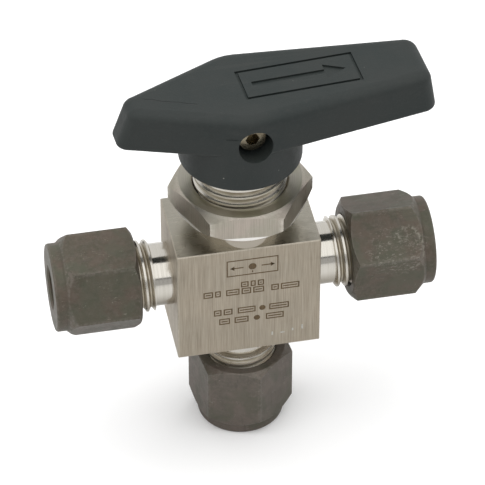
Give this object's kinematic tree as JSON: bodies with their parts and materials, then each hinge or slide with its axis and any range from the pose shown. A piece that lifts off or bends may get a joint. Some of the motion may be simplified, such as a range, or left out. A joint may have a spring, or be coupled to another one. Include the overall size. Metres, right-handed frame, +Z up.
{
  "type": "three way ball valve",
  "caption": "Lever-operated three way ball valve that sends flow from a bottom tube end to a left or a right tube end, with compression nuts and a panel nut.",
  "frame": {"origin": "centre of the bottom coupling nut's outer face, on the stem axis, at the level the valve stands on", "axes": "+Z up along the stem, +X out of the right tube end, -Y out of the marked front face"},
  "size_m": [0.059, 0.02, 0.0648],
  "materials": {
    "body_steel": "brushed stainless steel",
    "nut_steel": "turned stainless steel",
    "inner_steel": "machined stainless steel",
    "screw_steel": "dulled steel",
    "coated_nut": "dark dry-film coating, scuffed",
    "handle_nylon": "moulded nylon",
    "insert_brass": "machined brass",
    "seat_plastic": "fluoroplastic"
  },
  "bodies": {
    "valve": {"valve_body": "body_steel", "lower_seat": "seat_plastic", "upper_seat": "seat_plastic", "left_side_disc": "inner_steel", "right_side_disc": "inner_steel", "bottom_disc": "inner_steel", "lower_gland": "inner_steel", "disc_springs": "inner_steel", "stem_bushing": "seat_plastic", "upper_gland": "inner_steel", "packing_nut": "inner_steel", "stop_pin": "inner_steel"},
    "lever": {"handle": "handle_nylon", "handle_insert": "insert_brass", "set_screw": "screw_steel", "ball_stem": "inner_steel"},
    "panel_nut": {"panel_nut": "nut_steel"},
    "left_ferrule": {"left_ferrule": "inner_steel"},
    "left_nut": {"left_nut": "coated_nut"},
    "right_ferrule": {"right_ferrule": "inner_steel"},
    "right_nut": {"right_nut": "coated_nut"},
    "bottom_ferrule": {"bottom_ferrule": "inner_steel"},
    "bottom_nut": {"bottom_nut": "coated_nut"}
  },
  "joints": [
    {"name": "handle_turn", "type": "hinge", "parent": "valve", "child": "lever", "pos_m": [0, 0, 0.0567], "axis": [0, 0, 1], "range_deg": [-4.27, 175.73]},
    {"name": "panel_nut_travel", "type": "slide", "parent": "valve", "child": "panel_nut", "axis": [0, 0, 1], "range_m": [-0.001, 0.0045]},
    {"name": "left_nut_backoff", "type": "slide", "parent": "valve", "child": "left_ferrule", "axis": [-1, 0, 0], "range_m": [0, 0.00635]},
    {"name": "left_nut_turn", "type": "hinge", "parent": "left_ferrule", "child": "left_nut", "pos_m": [-0.0295, 0, 0.0299], "axis": [-1, 0, 0], "range_deg": [0, 1800]},
    {"name": "right_nut_backoff", "type": "slide", "parent": "valve", "child": "right_ferrule", "axis": [1, 0, 0], "range_m": [0, 0.00635]},
    {"name": "right_nut_turn", "type": "hinge", "parent": "right_ferrule", "child": "right_nut", "pos_m": [0.0295, 0, 0.0299], "axis": [1, 0, 0], "range_deg": [0, 1800]},
    {"name": "bottom_nut_backoff", "type": "slide", "parent": "valve", "child": "bottom_ferrule", "axis": [0, 0, -1], "range_m": [0, 0.00635]},
    {"name": "bottom_nut_turn", "type": "hinge", "parent": "bottom_ferrule", "child": "bottom_nut", "pos_m": [0, 0, 0], "axis": [0, 0, -1], "range_deg": [0, 1800]}
  ],
  "couplings": [
    {"joint": "left_nut_backoff", "follows": "left_nut_turn", "m_per_rad": 0.00020213},
    {"joint": "right_nut_backoff", "follows": "right_nut_turn", "m_per_rad": 0.00020213},
    {"joint": "bottom_nut_backoff", "follows": "bottom_nut_turn", "m_per_rad": 0.00020213}
  ]
}
